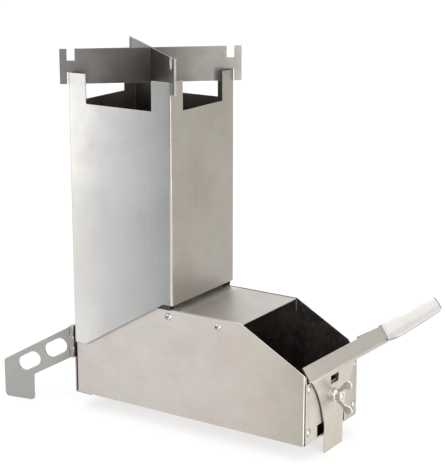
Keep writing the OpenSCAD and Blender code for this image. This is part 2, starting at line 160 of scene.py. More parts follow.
def object_space(tree, stretch):
    """The object's own coordinates, in metres, multiplied along each axis."""
    coordinates = add(tree, "ShaderNodeTexCoord")
    return add(tree, "ShaderNodeMapping", {
        "Vector": coordinates.outputs["Object"], "Scale": stretch}).outputs["Vector"]


def axes_of(tree, kind, wanted="XYZ"):
    """The wanted sockets of the object's own coordinates ("Object") or of its normals ("Normal")."""
    coordinates = add(tree, "ShaderNodeTexCoord")
    split = add(tree, "ShaderNodeSeparateXYZ", {"Vector": coordinates.outputs[kind]})
    return [split.outputs[axis] for axis in wanted]


def noise(tree, vector, scale, detail=3.0, roughness=0.55):
    """Cloudy noise, mostly between 0.3 and 0.7."""
    return add(tree, "ShaderNodeTexNoise", {
        "Vector": vector, "Scale": scale, "Detail": detail, "Roughness": roughness}).outputs["Fac"]


def remap(tree, value, low, high, to_low=0.0, to_high=1.0):
    """The value carried from the range low to high into the range to_low to to_high, and held inside it."""
    return add(tree, "ShaderNodeMapRange", {
        "Value": value, "From Min": low, "From Max": high, "To Min": to_low, "To Max": to_high,
    }).outputs["Result"]


def calc(tree, operation, first, second=0.0):
    """One step of arithmetic on values or sockets."""
    return add(tree, "ShaderNodeMath", {0: first, 1: second}, operation=operation).outputs["Value"]


def mix(tree, factor, first, second, blend="MIX", kind="RGBA"):
    """The first colour or number where factor is 0, and the second, or the blend of both, where it is 1."""
    node = add(tree, "ShaderNodeMix", data_type=kind, blend_type=blend)
    for key, value in (("Factor", factor), ("A", first), ("B", second)):
        socket = [s for s in node.inputs if s.name == key and s.enabled][0]
        if isinstance(value, bpy.types.NodeSocket):
            tree.links.new(value, socket)
        else:
            socket.default_value = value
    return [s for s in node.outputs if s.enabled][0]


def rgba(colour):
    """An opaque colour."""
    return (*colour, 1.0)


def grey(tree, value):
    """A grey as bright as the value."""
    channels = {"Red": value, "Green": value, "Blue": value}
    return add(tree, "ShaderNodeCombineColor", channels).outputs["Color"]


def colour_ramp(tree, value, stops):
    """A smooth colour along value, from (position, colour) stops."""
    node = add(tree, "ShaderNodeValToRGB", {"Fac": value})
    elements = node.color_ramp.elements
    while len(elements) < len(stops):
        elements.new(0.5)
    for element, (position, colour) in zip(elements, stops):
        element.position = position
        element.color = rgba(colour)
    return node.outputs["Color"]


def edge_mask(tree, radius):
    """1 on worn sheet edges and corners, 0 on flat faces: where a rounded normal leaves the true one."""
    rounded = add(tree, "ShaderNodeBevel", {"Radius": radius}, samples=4)
    geometry = add(tree, "ShaderNodeNewGeometry")
    dot = add(tree, "ShaderNodeVectorMath", {
        0: rounded.outputs["Normal"], 1: geometry.outputs["True Normal"]}, operation="DOT_PRODUCT")
    return remap(tree, dot.outputs["Value"], 0.995, 0.86)


def inside_mask(tree, centre):
    """1 on the faces that look towards that point, 0 on the outside of the sheet."""
    coordinates = add(tree, "ShaderNodeTexCoord")
    outwards = add(tree, "ShaderNodeVectorMath", {
        0: coordinates.outputs["Object"], 1: centre}, operation="SUBTRACT").outputs["Vector"]
    facing = add(tree, "ShaderNodeVectorMath", {
        0: outwards, 1: coordinates.outputs["Normal"]}, operation="DOT_PRODUCT").outputs["Value"]
    return remap(tree, facing, -2 * MM, -10 * MM)


# ---------- tones of the single parts ----------

def above_flap_edge(tree):
    """How far a point lies above the lower edge of the chimney's side flaps, in metres."""
    low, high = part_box("chimney_wrap")
    y, z = axes_of(tree, "Object", "YZ")
    run = high.y - low.y - FLAP_FRONT_INSET - FLAP_REAR_INSET
    length = math.hypot(run, FLAP_FALL)
    ahead = calc(tree, "SUBTRACT", y, high.y - FLAP_REAR_INSET)
    ahead = calc(tree, "MULTIPLY", ahead, FLAP_FALL / length)
    height = calc(tree, "SUBTRACT", z, low.z)
    slanting = calc(tree, "ADD", ahead, calc(tree, "MULTIPLY", height, run / length))
    return calc(tree, "MINIMUM", slanting, height)


def chimney_tone(tree):
    """Side walls with a painted reflection that dims them towards the straw-tinted front wall, a painted
    highlight down the front bends and a painted shadow line along the flaps' lower edge.
    """
    low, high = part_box("chimney_wrap")
    x, y, z = axes_of(tree, "Object")
    clouds = noise(tree, object_space(tree, (1.0, 1.0, 1.0)), 16.0, 3.0)
    along = calc(tree, "ADD", remap(tree, y, low.y, high.y), remap(tree, clouds, 0.3, 0.7, -0.07, 0.07))
    # Painted reflection: the side walls are painted lighter at the rear and darker towards the front
    side = colour_ramp(tree, along, (
        (0.0, (0.305, 0.305, 0.307)), (0.14, (0.352, 0.352, 0.353)), (0.35, (0.415, 0.413, 0.412)),
        (0.7, (0.51, 0.505, 0.50)), (0.93, (0.62, 0.605, 0.59)), (1.0, (0.64, 0.625, 0.61))))
    # The side walls darker towards the top
    side = mix(tree, 1.0, side, grey(tree, remap(tree, z, low.z, high.z, 1.05, 0.87)), "MULTIPLY")
    # A painted highlight down the chimney's front bends, fading towards the top (the mask is named rubbed)
    bright_width = 1.4 * MM
    faded_width = 2.2 * MM
    near_side = remap(tree, calc(tree, "ABSOLUTE", x), high.x - faded_width, high.x - bright_width)
    near_front = remap(tree, y, low.y + faded_width, low.y + bright_width)
    corner = calc(tree, "MULTIPLY", near_side, near_front)
    fading = remap(tree, z, high.z - 50 * MM, low.z + 30 * MM, 0.0, 0.85)
    rubbed = calc(tree, "MULTIPLY", corner, fading)
    # A painted shadow line just above the flaps' lower edge
    flap_edge_shadow = remap(tree, above_flap_edge(tree), 0.9 * MM, 0.3 * MM)
    side = mix(tree, calc(tree, "MULTIPLY", flap_edge_shadow, 0.32), side, rgba((0.26, 0.245, 0.23)))
    face = colour_ramp(tree, remap(tree, clouds, 0.3, 0.7), (
        (0.0, (0.365, 0.335, 0.29)), (0.5, (0.396, 0.368, 0.325)), (1.0, (0.405, 0.38, 0.345))))
    forwards = calc(tree, "ABSOLUTE", axes_of(tree, "Normal", "Y")[0])
    walls = mix(tree, remap(tree, forwards, 0.35, 0.75), side, face)
    return mix(tree, rubbed, walls, rgba((0.72, 0.71, 0.69)))


def front_seam_shade(tree):
    """How much painted shade lies along the front panel's upright edges, on the panel and beside it."""
    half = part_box("front_panel")[1].x
    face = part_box("left_side_panel")[0].y
    x, y = axes_of(tree, "Object", "XY")
    across = calc(tree, "ABSOLUTE", x)
    band = calc(tree, "MULTIPLY", remap(tree, across, half - 0.2 * MM, half - 0.1 * MM),
                remap(tree, across, half + 0.5 * MM, half + 0.4 * MM))
    depth = calc(tree, "MULTIPLY", remap(tree, y, face - 1.3 * MM, face - 1.1 * MM),
                 remap(tree, y, face + 0.35 * MM, face + 0.2 * MM))
    return calc(tree, "MULTIPLY", calc(tree, "MULTIPLY", band, depth), 0.8)


def rivet_shadow_rings(tree):
    """How much painted shadow lies on the front panel in a thin ring round each rivet head."""
    low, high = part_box("front_rivets")
    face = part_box("front_panel")[0].y
    head = 3.5 * MM
    x, y, z = axes_of(tree, "Object")
    beside = calc(tree, "SUBTRACT", calc(tree, "ABSOLUTE", x), high.x - head)
    rows = [calc(tree, "ABSOLUTE", calc(tree, "SUBTRACT", z, height))
            for height in (low.z + head, high.z - head)]
    above = calc(tree, "MINIMUM", *rows)
    squares = [calc(tree, "POWER", offset, 2.0) for offset in (beside, above)]
    distance = calc(tree, "SQRT", calc(tree, "ADD", *squares))
    ring = remap(tree, distance, head + 0.8 * MM, head + 0.3 * MM, 0.0, 0.7)
    return calc(tree, "MULTIPLY", ring, remap(tree, y, face + 0.3 * MM, face + 0.2 * MM))


def box_tone(tree):
    """Clean steel with painted shade and light: sides darker towards the front, a shadow under the flap,
    shadows in the front seams and round the rivets, a front lighter on its left and a deck lighter by the
    chimney.
    """
    low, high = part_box("left_side_panel")
    flue_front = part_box("chimney_wrap")[0].y
    x, y = axes_of(tree, "Object", "XY")
    ny, nz = axes_of(tree, "Normal", "YZ")
    # Painted shade: the side walls darker towards the front
    side = colour_ramp(tree, remap(tree, y, low.y, high.y), (
        (0.0, (0.455, 0.415, 0.365)), (0.06, (0.482, 0.443, 0.39)), (0.18, (0.538, 0.494, 0.445)),
        (0.36, (0.562, 0.520, 0.485)), (0.6, (0.572, 0.530, 0.500)), (1.0, (0.565, 0.525, 0.498))))
    # A painted shadow on the side walls just under the chimney's flap
    flap_shadow = calc(tree, "POWER", remap(tree, above_flap_edge(tree), -2.4 * MM, -0.2 * MM), 1.6)
    near_chimney = remap(tree, y, flue_front, flue_front + 6 * MM, 0.0, 0.42)
    side = mix(tree, calc(tree, "MULTIPLY", flap_shadow, near_chimney), side, rgba((0.17, 0.155, 0.14)))
    # Painted light and shade: the front panel lighter on its left, darker on its right
    front = mix(tree, remap(tree, x, low.x, -low.x), rgba((0.70, 0.648, 0.578)), rgba((0.51, 0.472, 0.421)))
    # Painted light: the deck lighter next to the chimney, where the chimney's shadow falls
    deck = mix(tree, remap(tree, y, flue_front, flue_front - 14 * MM), rgba((0.95, 0.91, 0.86)),
               rgba((0.583, 0.556, 0.524)))
    walls = mix(tree, remap(tree, ny, -0.5, -0.9), side, front)
    sheets = mix(tree, remap(tree, nz, 0.5, 0.9), walls, deck)
    # Painted shadows in the front seams and round the rivet heads
    seam_and_rivet_shade = calc(tree, "MAXIMUM", front_seam_shade(tree), rivet_shadow_rings(tree))
    return mix(tree, seam_and_rivet_shade, sheets, rgba((0.12, 0.11, 0.10)))


def pot_support_tone(tree):
    """Darkest over the flue, where the flame blackens it, and clean towards the handle side's tip."""
    low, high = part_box("pot_support_lower")
    x = axes_of(tree, "Object", "X")[0]
    clouds = noise(tree, object_space(tree, (1.0, 1.0, 1.0)), 45.0, 4.0)
    along = calc(tree, "ADD", remap(tree, x, low.x, high.x), remap(tree, clouds, 0.3, 0.7, -0.05, 0.05))
    return colour_ramp(tree, along, (
        (0.0, (0.185, 0.180, 0.182)), (0.13, (0.165, 0.155, 0.152)), (0.24, (0.115, 0.105, 0.10)),
        (0.5, (0.125, 0.115, 0.108)), (0.66, (0.18, 0.168, 0.155)), (0.8, (0.215, 0.205, 0.19)),
        (0.9, (0.222, 0.21, 0.196)), (1.0, (0.275, 0.260, 0.240))))


def leg_plate_tone(tree):
    """The upright leg is warm and clean, and the handle strip above its bend greyer."""
    low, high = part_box("leg_handle_plate")
    x, z = axes_of(tree, "Object", "XZ")
    strip = colour_ramp(tree, remap(tree, x, low.x, high.x / 2), (
        (0.0, (0.69, 0.62, 0.56)), (0.2, (0.605, 0.562, 0.505)), (1.0, (0.57, 0.54, 0.49))))
    bend = low.z + BEND_HEIGHT
    return mix(tree, remap(tree, z, bend - 14 * MM, bend + 6 * MM), rgba((0.612, 0.568, 0.498)), strip)


def grip_tone(tree):
    """Bright upper face with a painted highlight along its pressed crease, painted shade on the lower fold
    and the end rim, and a dull tongue with a painted shadow at its end.

    The grip's own X runs along the strip and its Z up it.
    """
    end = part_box("handle_grip")[1].x
    start = end - GRIP_LENGTH
    tongue_end = start - TONGUE_LENGTH
    x, z = axes_of(tree, "Object", "XZ")
    # A painted highlight along the crease, with a slightly darker band just below it
    face = colour_ramp(tree, remap(tree, z, -3 * MM, 13 * MM), (
        (0.0, (0.98, 0.96, 0.92)), (0.36, (0.92, 0.89, 0.85)), (0.45, (1.0, 0.98, 0.94)),
        (0.55, (0.98, 0.945, 0.90)), (1.0, (1.0, 0.965, 0.92))))
    # Painted shade along the lowest fold of the sleeve
    lowest = calc(tree, "ADD", remap(tree, x, start, start + 18 * MM, -1.5 * MM, -3.9 * MM),
                  remap(tree, x, start + 40 * MM, start + 110 * MM, 0.0, 1.4 * MM))
    fold_shade = remap(tree, calc(tree, "SUBTRACT", z, lowest), 1.3 * MM, 0.8 * MM)
    face = mix(tree, fold_shade, face, rgba((0.36, 0.38, 0.40)))
    # Painted shade on the sleeve's end rim
    rim = remap(tree, x, end - 2.4 * MM, end - 1.4 * MM)
    sleeve = mix(tree, rim, face, rgba((0.27, 0.285, 0.30)))
    # The tongue, with a painted shadow at its far end
    tongue = mix(tree, remap(tree, x, tongue_end + 1 * MM, tongue_end), rgba((0.55, 0.54, 0.52)),
                 rgba((0.20, 0.195, 0.19)))
    return mix(tree, remap(tree, x, start - 0.2 * MM, start + 0.2 * MM), tongue, sleeve)


def wing_nut_tone(tree):
    """Dull broad faces, which look along the nut's X, and rims with a painted highlight."""
    broad = calc(tree, "ABSOLUTE", axes_of(tree, "Normal", "X")[0])
    return mix(tree, remap(tree, broad, 0.45, 0.85), rgba((0.95, 0.92, 0.86)), rgba((0.49, 0.475, 0.445)))


def rear_leg_tone(tree):
    """Plain dull steel, dimmer beside the hinge."""
    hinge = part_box("rear_leg_left")[0].y
    y = axes_of(tree, "Object", "Y")[0]
    away = remap(tree, y, hinge, hinge + 30 * MM)
    return mix(tree, away, rgba((0.30, 0.29, 0.278)), rgba((0.39, 0.377, 0.363)))


# ---------- steels ----------

def soot(tree, rim=None):
    """Dark brown-black oxide with paler rubbed patches, turning paler towards the height rim if given.

    Returns its colour and the noise of its flakes.
    """
    plain = object_space(tree, (1.0, 1.0, 1.0))
    patches = noise(tree, plain, SOOT_PATCHES, 5.0, 0.62)
    flakes = noise(tree, plain, 210.0, 4.0, 0.65)
    dark = mix(tree, remap(tree, patches, 0.36, 0.64), rgba((0.022, 0.019, 0.018)),
               rgba((0.085, 0.066, 0.056)))
    colour = mix(tree, remap(tree, flakes, 0.56, 0.74, 0.0, 0.5), dark, rgba((0.15, 0.135, 0.125)))
    if rim is not None:
        z = axes_of(tree, "Object", "Z")[0]
        colour = mix(tree, remap(tree, z, rim - 40 * MM, rim, 0.0, 0.8), colour, rgba((0.24, 0.215, 0.185)))
    return colour, flakes


def steel(name, tone, stain=(0.93, 0.91, 0.90), cool_stain=(0.95, 0.97, 0.97), grain="z", roughness=0.40,
          spread=0.10, stain_scale=22.0, stain_strength=0.6, grain_strength=0.3, edge_light=0.5,
          scratches=0.35, inside=None, rim=None):
    """Satin sheet steel: fine grain along one axis, soft stains, faint scratches and bright edges.

    tone is a colour, or a function that draws one. stain and cool_stain tint the stains, which are
    smaller for a larger stain_scale. inside is the point that the sooted faces look to, and rim is the
    height towards which the soot turns paler.
    """
    material, tree, shader = new_material(name)
    fine = object_space(tree, tuple(1.0 / GRAIN_STRETCH if axis == grain else 1.0 for axis in "xyz"))
    plain = object_space(tree, (1.0, 1.0, 1.0))

    brushing = noise(tree, fine, FINE_BRUSHING, 4.0, 0.62)
    broad_brushing = noise(tree, fine, BROAD_BRUSHING, 2.0, 0.5)
    warm = noise(tree, plain, stain_scale, 4.0, 0.6)
    cool = noise(tree, object_space(tree, (1.3, 0.9, 1.1)), stain_scale * 1.7, 3.0, 0.55)
    clouds = noise(tree, plain, stain_scale * 4.5, 3.0, 0.6)
    across_grain = "x" if grain == "z" else "z"
    cells = tuple(SCRATCHES_ALONG if axis == across_grain else SCRATCHES_ACROSS for axis in "xyz")
    marks = add(tree, "ShaderNodeTexVoronoi", {
        "Vector": object_space(tree, cells), "Scale": 1.0, "Randomness": 1.0,
    }, feature="DISTANCE_TO_EDGE").outputs["Distance"]

    base = tone(tree) if callable(tone) else rgba(tone)
    for pattern, tint in ((warm, stain), (cool, cool_stain)):
        amount = calc(tree, "MULTIPLY", remap(tree, pattern, 0.42, 0.64), stain_strength)
        base = mix(tree, amount, base, rgba(tint), "MULTIPLY")
    shade = calc(tree, "MULTIPLY", remap(tree, brushing, 0.3, 0.7, 0.975, 1.045),
                 remap(tree, broad_brushing, 0.3, 0.7, 0.992, 1.028))
    base = mix(tree, 1.0, base, grey(tree, shade), "MULTIPLY")
    worn = edge_mask(tree, 0.55 * MM)
    # The edges are painted lighter: partly rubbed wear, partly a painted highlight
    base = mix(tree, calc(tree, "MULTIPLY", worn, edge_light), base, rgba((0.93, 0.93, 0.92)))

    rough = remap(tree, brushing, 0.25, 0.75, roughness - spread / 2, roughness + spread / 2)
    rough = calc(tree, "ADD", rough, remap(tree, clouds, 0.3, 0.7, -0.04, 0.05))
    rough = calc(tree, "SUBTRACT", rough, calc(tree, "MULTIPLY", worn, 0.08))
    height = calc(tree, "ADD", brushing, remap(tree, marks, 0.0, 0.02, -scratches, 0.0))
    if inside is None:
        shader.inputs["Metallic"].default_value = 1.0
    else:
        sooted = inside_mask(tree, inside)
        soot_colour, flakes = soot(tree, rim)
        base = mix(tree, sooted, base, soot_colour)
        rough = mix(tree, sooted, rough, remap(tree, flakes, 0.3, 0.7, 0.5, 0.75), kind="FLOAT")
        height = mix(tree, sooted, height, flakes, kind="FLOAT")
        tree.links.new(remap(tree, sooted, 0.0, 1.0, 1.0, 0.35), shader.inputs["Metallic"])
    tree.links.new(base, shader.inputs["Base Color"])
    tree.links.new(rough, shader.inputs["Roughness"])

    grain_bump = add(tree, "ShaderNodeBump", {
        "Height": height, "Strength": grain_strength, "Distance": GRAIN_HEIGHT})
    wave = noise(tree, plain, 9.0, 1.0, 0.4)
    sheet_bump = add(tree, "ShaderNodeBump", {
        "Height": wave, "Strength": 0.5, "Distance": WAVE_HEIGHT, "Normal": grain_bump.outputs["Normal"]})
    tree.links.new(sheet_bump.outputs["Normal"], shader.inputs["Normal"])
    return material


def sooted_steel():
    """Pieces that stand in the fire: soot all over, rubbed bare along their edges."""
    material, tree, shader = new_material("sooted_steel")
    base, flakes = soot(tree)
    worn = calc(tree, "MULTIPLY", edge_mask(tree, 0.5 * MM), 0.45)
    tree.links.new(mix(tree, worn, base, rgba((0.30, 0.27, 0.25))), shader.inputs["Base Color"])
    patches = noise(tree, object_space(tree, (1.0, 1.0, 1.0)), SOOT_PATCHES, 5.0, 0.62)
    tree.links.new(remap(tree, patches, 0.3, 0.7, 0.15, 0.55), shader.inputs["Metallic"])
    tree.links.new(remap(tree, flakes, 0.3, 0.7, 0.52, 0.78), shader.inputs["Roughness"])
    bump = add(tree, "ShaderNodeBump", {"Height": flakes, "Strength": 0.45, "Distance": 0.2 * MM})
    tree.links.new(bump.outputs["Normal"], shader.inputs["Normal"])
    return material


def make_steels():
    """One material for each slot of the record, one for the wing nut and one for the painted shade in the
    screws' recesses.
    """
    flue_low, flue_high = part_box("chimney_wrap")
    box_low, box_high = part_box("left_side_panel")
    flue = (0.0, (flue_low.y + flue_high.y) / 2, (flue_low.z + flue_high.z) / 2)
    hearth = (0.0, (box_low.y + box_high.y) / 2, (box_low.z + box_high.z) / 2)
    return {
        "chimney_steel": steel("chimney_steel", chimney_tone, stain=(0.95, 0.93, 0.91), grain="z",
                               roughness=0.40, stain_scale=13.0, inside=flue, rim=flue_high.z),
        "box_steel": steel("box_steel", box_tone, stain=(0.97, 0.91, 0.915), cool_stain=(0.93, 0.975, 0.94),
                           grain="y", roughness=0.42, stain_scale=26.0, stain_strength=0.8, inside=hearth),
        "sooted_steel": sooted_steel(),
        "bracket_steel": steel("bracket_steel", (0.34, 0.325, 0.31), stain=(0.72, 0.68, 0.64), grain="x",
                               roughness=0.42, stain_scale=30.0),
        "pot_support_steel": steel("pot_support_steel", pot_support_tone, stain=(0.86, 0.80, 0.78),
                                   grain="z", roughness=0.42, stain_scale=30.0),
        "leg_plate_steel": steel("leg_plate_steel", leg_plate_tone, stain=(0.96, 0.95, 0.93), grain="x",
                                 roughness=0.36, stain_scale=40.0),
        "rear_leg_steel": steel("rear_leg_steel", rear_leg_tone, stain=(0.94, 0.94, 0.94),
                                grain="z", roughness=0.44, stain_scale=34.0),
        "grip_steel": steel("grip_steel", grip_tone, stain=(0.96, 0.935, 0.91), grain="x",
                            roughness=0.30, spread=0.14, stain_scale=60.0, scratches=0.6),
        "bright_fasteners": steel("bright_fasteners", (0.60, 0.585, 0.555), stain=(0.88, 0.86, 0.82),
                                  grain="y", roughness=0.32, spread=0.08, stain_scale=150.0,
                                  grain_strength=0.12, scratches=0.1, edge_light=0.8),
        "cast_steel": steel("cast_steel", wing_nut_tone, stain=(0.88, 0.86, 0.82), grain="x", roughness=0.26,
                            spread=0.10, stain_scale=150.0, grain_strength=0.12, scratches=0.1),
        # A dark steel for the crosses that stand in for the shade in the screws' recesses
        "recess": steel("recess", (0.06, 0.055, 0.05), grain="x", roughness=0.6, stain_scale=300.0,
                        edge_light=0.1),
    }


# ---------- CAD nodes ----------

def round_edges(obj, width, angle, harden):
    """Rounds the edges sharper than angle, in degrees, with a modifier that leaves the mesh as it is."""
    bevel = obj.modifiers.new("edge", "BEVEL")
    bevel.width = width
    bevel.segments = 2
    bevel.limit_method = "ANGLE"
    bevel.angle_limit = math.radians(angle)
    bevel.use_clamp_overlap = True
    bevel.harden_normals = harden


def dress_cad_nodes(steels):
    """Gives each CAD node the steel of its slot, and rounded edges."""
    slots = {row["node"]: row["material_slot"] for row in frame["record"]["subparts"]}
    for name, obj in frame["nodes"].items():
        obj.data.materials.clear()
        obj.data.materials.append(steels[slots[name]])
        weld = obj.modifiers.new("weld", "WELD")
        weld.merge_threshold = 0.002 * MM
        fastener = slots[name] == "bright_fasteners" or name == "deck_nuts"
        round_edges(obj, FASTENER_EDGE if fastener else SHEET_EDGE, 40.0, True)


# ---------- modelled pieces ----------

def mesh_object(name, mesh, material, smooth_angle=35.0):
    """An object from a bmesh, smooth except across edges sharper than smooth_angle."""
    bmesh.ops.recalc_face_normals(mesh, faces=mesh.faces)
    data = bpy.data.meshes.new(name)
    mesh.to_mesh(data)
    mesh.free()
    data.materials.append(material)
    obj = bpy.data.objects.new(name, data)
    bpy.context.scene.collection.objects.link(obj)
    data.shade_smooth()
    data.set_sharp_from_angle(angle=math.radians(smooth_angle))
    return obj


def add_rings(mesh, rings, close_ends=False, loop=False):
    """Faces between successive closed rings of points; loop joins the last ring to the first."""
    rows = [[mesh.verts.new(point) for point in ring] for ring in rings]
    pairs = list(zip(rows, rows[1:])) + ([(rows[-1], rows[0])] if loop else [])
    for first, second in pairs:
        count = len(first)
        for i in range(count):
            j = (i + 1) % count
            mesh.faces.new((first[i], first[j], second[j], second[i]))
    if close_ends:
        mesh.faces.new(rows[0])
        mesh.faces.new(rows[-1])


def circle(radius, z, steps):
    """Points on a circle about Z."""
    angles = [2 * math.pi * i / steps for i in range(steps)]
    return [(radius * math.cos(a), radius * math.sin(a), z) for a in angles]


def add_extruded(mesh, outline, thickness, place):
    """A flat outline in X and Y made thick about Z = 0, then moved by the matrix place."""
    rings = [[place @ Vector((x, y, side * thickness / 2)) for x, y in outline] for side in (-1, 1)]
    add_rings(mesh, rings, close_ends=True)


def arc(centre, radius, start, stop, steps):
    """Points on a circle in X and Y, with angles in degrees."""
    turns = [math.radians(start + (stop - start) * i / steps) for i in range(steps + 1)]
    return [(centre[0] + radius * math.cos(a), centre[1] + radius * math.sin(a)) for a in turns]


def facing_front(x, y, z, roll=0.0):
    """The place of a piece whose +Z is to point forwards, along -Y, turned about it by roll degrees."""
    return (Matrix.Translation((x, y, z)) @ Matrix.Rotation(math.radians(90.0), 4, "X")
            @ Matrix.Rotation(math.radians(roll), 4, "Z"))


def cast_wing_nut(material):
    """A cast nut whose wings run into its hub with soft fillets."""
    # The hub's section (radius, height) and the outline of one wing (distance from the axis, height), in mm
    hub = [(3.05, 0.0), (5.9, 0.0), (6.1, 0.5), (5.9, 1.2), (5.1, 1.6), (4.8, 3.0), (4.7, 6.2), (4.3, 7.2),
           (3.7, 7.5), (3.05, 7.5)]
    tip = arc((12.2, 12.9), 3.8, -50, 165, 16)
    wing = [(4.0, 0.7), (6.4, 1.9), (9.2, 5.6)] + tip + [(7.6, 9.6), (4.9, 7.2), (4.0, 6.6)]
    mesh = bmesh.new()
    add_rings(mesh, [circle(radius * MM, z * MM, 48) for radius, z in hub], loop=True)
    for turn in (90, 270):
        place = Matrix.Rotation(math.radians(turn), 4, "Z") @ Matrix.Rotation(math.radians(90.0), 4, "X")
        add_extruded(mesh, [(x * MM, y * MM) for x, y in wing], 2.0 * MM, place)
    nut = mesh_object("cast_wing_nut", mesh, material)
    washer_low, washer_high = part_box("nut_washer")
    nut.matrix_world = facing_front(0.0, washer_low.y, (washer_low.z + washer_high.z) / 2, WING_TURN)
    remesh = nut.modifiers.new("cast", "REMESH")
    remesh.mode = "VOXEL"
    remesh.voxel_size = 0.22 * MM
    remesh.use_smooth_shade = True
    soften = nut.modifiers.new("soften", "SMOOTH")
    soften.factor = 0.5
    soften.iterations = 7
    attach(nut, "clamp_nut")
    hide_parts("wing_nut")


def thread_ring(z, shank, steps):
    """A ring of the bolt's shank at height z, cut by the thread and chamfered at the shank's end."""
    chamfer = max(0.0, z - (shank - SHANK_CHAMFER))
    ring = []
    for i in range(steps):
        angle = 2 * math.pi * i / steps
        groove = abs(((z / THREAD_PITCH - angle / (2 * math.pi)) % 1.0) - 0.5) * 2
        radius = min(SHANK_RADIUS - THREAD_DEPTH * (1 - groove), SHANK_RADIUS - chamfer)
        ring.append((radius * math.cos(angle), radius * math.sin(angle), z))
    return ring


def threaded_bolt(material):
    """The round-head bolt with its square neck in the front panel and an M6 thread."""
    low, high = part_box("clamp_bolt")
    panel_low, panel_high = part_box("front_panel")
    shank = panel_low.y - low.y
    sheet = panel_high.y - panel_low.y
    head = high.y - panel_high.y
    steps = 40
    mesh = bmesh.new()
    count = int(shank / (THREAD_PITCH / RINGS_PER_TURN))
    add_rings(mesh, [thread_ring(shank * row / count, shank, steps) for row in range(count + 1)],
              close_ends=True)
    neck = SHANK_RADIUS
    corners = [(-neck, -neck), (neck, -neck), (neck, neck), (-neck, neck)]
    add_extruded(mesh, corners, sheet, Matrix.Translation((0.0, 0.0, -sheet / 2)))
    slopes = [math.radians(90.0 * i / 12) for i in range(12)]
    dome = [(BOLT_HEAD_RADIUS * math.cos(t), -sheet - head * math.sin(t)) for t in slopes]
    add_rings(mesh, [circle(radius, z, steps) for radius, z in dome], close_ends=True)
    bolt = mesh_object("threaded_bolt", mesh, material, 50.0)
    bolt.matrix_world = facing_front(0.0, panel_low.y, (low.z + high.z) / 2)
    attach(bolt, "base")
    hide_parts("clamp_bolt")


def screw_recess_shades(material):
    """Dark crosses at the bottom of the deck screws' recesses, which stand in for the shade in them."""
    low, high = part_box("deck_screws")
    head_radius = 3.7 * MM
    head_height = 2.4 * MM
    recess_floor = 1.12 * MM
    # Half the length and half the width of the cross's arms
    half = 2.05 * MM
    arm = 0.43 * MM
    cross = [(half, arm), (arm, arm), (arm, half), (-arm, half), (-arm, arm), (-half, arm), (-half, -arm),
             (-arm, -arm), (-arm, -half), (arm, -half), (arm, -arm), (half, -arm)]
    mesh = bmesh.new()
    for side in (-1, 1):
        face = (low.x + head_height) if side < 0 else (high.x - head_height)
        for y in (low.y + head_radius, high.y - head_radius):
            place = (Matrix.Translation((face + side * recess_floor, y, (low.z + high.z) / 2))
                     @ Matrix.Rotation(math.radians(side * 90.0), 4, "Y")
                     @ Matrix.Rotation(math.radians(SCREW_TURN), 4, "Z"))
            add_extruded(mesh, cross, 0.3 * MM, place)
    piece = mesh_object("screw_recess_shades", mesh, material, 20.0)
    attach(piece, "base")


def grip_stations():
    """Distances from the grip's mouth at which its section is drawn, in mm, closer at both ends."""
    corner_start = GRIP_LENGTH / MM - GRIP_CORNER
    rounding = [corner_start + GRIP_CORNER * math.sin(math.radians(90.0 * i / 7)) for i in range(1, 8)]
    return [0.0, 0.3, 1.0] + [4.0 + 3.5 * i for i in range(30)] + [108.0, 110.2] + rounding


def grip_ring(section, pressed, start, along):
    """The sleeve's section at that distance along the grip from its mouth, all but start in mm.

    Above its crease and below it the section is stretched: it swells behind the mouth and slims down
    towards the end, where its lower corner is rounded. At the mouth its front, at negative Y, is
    pressed in as far as pressed, and slight dents run along it.
    """
    top_swell = 2.3 * math.exp(-((along - 14.0) / 34.0) ** 2)
    bottom_swell = 2.6 * (1.0 - math.exp(-along / 9.0)) - 1.7 * (along * MM / GRIP_LENGTH) ** 2
    stretch_up = (PLAIN_TOP + top_swell - CREASE) / (PLAIN_TOP - CREASE)
    stretch_down = (MOUTH_LOW - bottom_swell - CREASE) / (PLAIN_LOW - CREASE)
    past = max(0.0, along - (GRIP_LENGTH / MM - GRIP_CORNER))
    lift = GRIP_CORNER - math.sqrt(max(0.0, GRIP_CORNER ** 2 - past ** 2))
    lowest = CREASE + (min(z for y, z in section) - CREASE) * stretch_down + lift
    pinch = max(0.0, 1.0 - along / PINCH_LENGTH) ** 0.7
    dents = 0.12 * math.sin(along * 0.095) + 0.08 * math.sin(along * 0.230 + 1.0)
    ring = []
    for y, z in section:
        z = max(CREASE + (z - CREASE) * (stretch_up if z > CREASE else stretch_down), lowest)
        if y < -0.1:
            y += (max(y, pressed) - y) * pinch
        if y < -1.0:
            y += dents * min(1.0, max(0.0, (z - 1.5) / 2.0))
        ring.append((start + along * MM, max(y, GRIP_FRONT) * MM, z * MM))
    return ring


